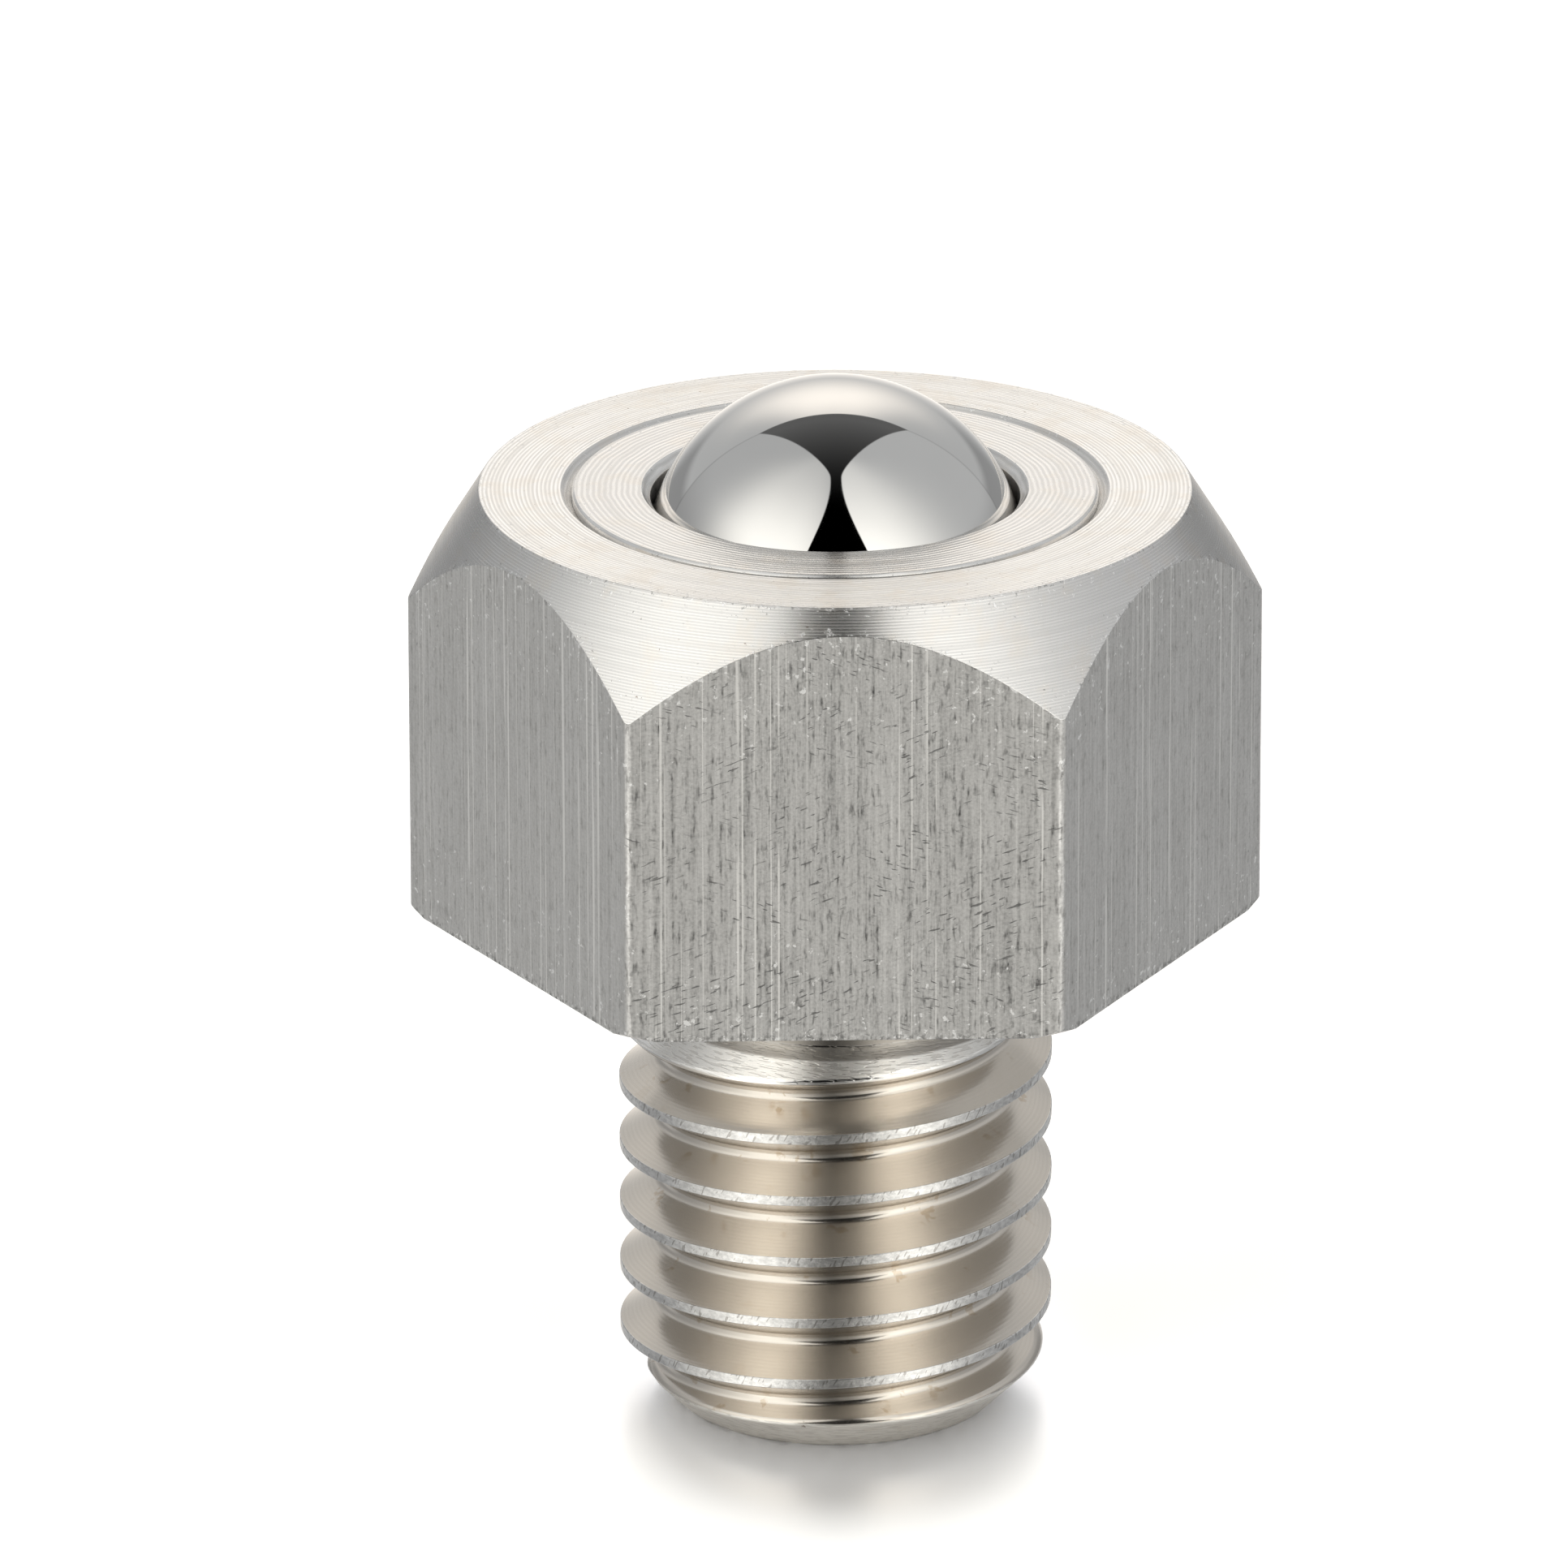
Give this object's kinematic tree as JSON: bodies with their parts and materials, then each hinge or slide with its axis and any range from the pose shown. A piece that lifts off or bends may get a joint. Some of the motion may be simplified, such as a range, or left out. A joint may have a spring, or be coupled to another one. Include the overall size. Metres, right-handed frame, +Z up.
{
  "type": "threaded ball transfer unit",
  "caption": "Hexagon head on a short threaded stud, with a captive steel ball that stands proud of the top face and rolls in every direction under a load.",
  "frame": {"origin": "centre of the stud's end face, on the axis of the stud and the head", "axes": "+Z up the axis towards the ball, +X through a corner of the hexagon, +Y out of one of its flats"},
  "size_m": [0.0194, 0.0168, 0.0245],
  "materials": {
    "stainless_body": "stainless steel, drawn flats with fine lengthwise marks, turned faces with fine round tool marks",
    "stainless_ring": "stainless steel, finely turned",
    "ball_steel": "bearing ball, mirror polished"
  },
  "bodies": {
    "housing": {"hex_body": "stainless_body", "retaining_ring": "stainless_ring"},
    "load_ball_set": {"load_balls": "ball_steel"},
    "rolling_ball": {"main_ball": "ball_steel"}
  },
  "joints": [
    {"name": "load_balls_turn", "type": "hinge", "parent": "housing", "child": "load_ball_set", "pos_m": [0, 0, 0.0201], "axis": [0, 0, 1], "continuous": true},
    {"name": "main_ball_roll", "type": "hinge", "parent": "load_ball_set", "child": "rolling_ball", "pos_m": [0, 0, 0.0201], "axis": [1, 0, 0], "continuous": true}
  ]
}
